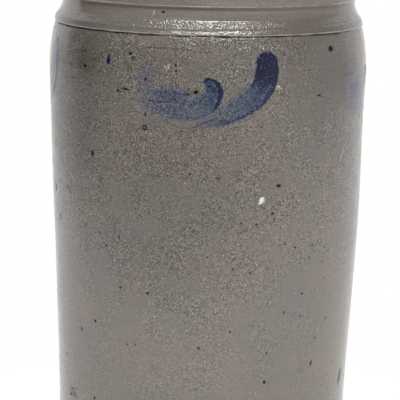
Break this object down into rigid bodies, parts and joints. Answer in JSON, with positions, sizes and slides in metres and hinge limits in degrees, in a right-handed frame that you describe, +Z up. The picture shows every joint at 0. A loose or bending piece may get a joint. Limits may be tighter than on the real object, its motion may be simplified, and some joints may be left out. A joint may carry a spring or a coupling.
{
  "type": "stoneware crock",
  "caption": "Wheel-thrown salt-glazed stoneware crock with a tooled shoulder ring, collared rim, brown slip lining and brushed cobalt swags.",
  "frame": {"origin": "centre of the foot, on the surface that the crock stands on", "axes": "+Z up along the crock's axis, -Y out of the front, where the swag in the picture is, +X to the right as seen from the front"},
  "size_m": [0.1779, 0.1781, 0.254],
  "materials": {
    "salt_glazed_stoneware": "satin salt glaze with a fine orange peel and iron specks",
    "brown_slip": "glossy dark brown slip",
    "cobalt_slip": "brushed cobalt slip under salt glaze"
  },
  "bodies": {
    "root": {"crock_body": "salt_glazed_stoneware", "slip_lining": "brown_slip", "front_short_stroke": "cobalt_slip", "front_long_stroke": "cobalt_slip", "right_short_stroke": "cobalt_slip", "right_long_stroke": "cobalt_slip", "back_short_stroke": "cobalt_slip", "back_long_stroke": "cobalt_slip", "left_short_stroke": "cobalt_slip", "left_long_stroke": "cobalt_slip", "cobalt_drip": "cobalt_slip"}
  },
  "joints": []
}
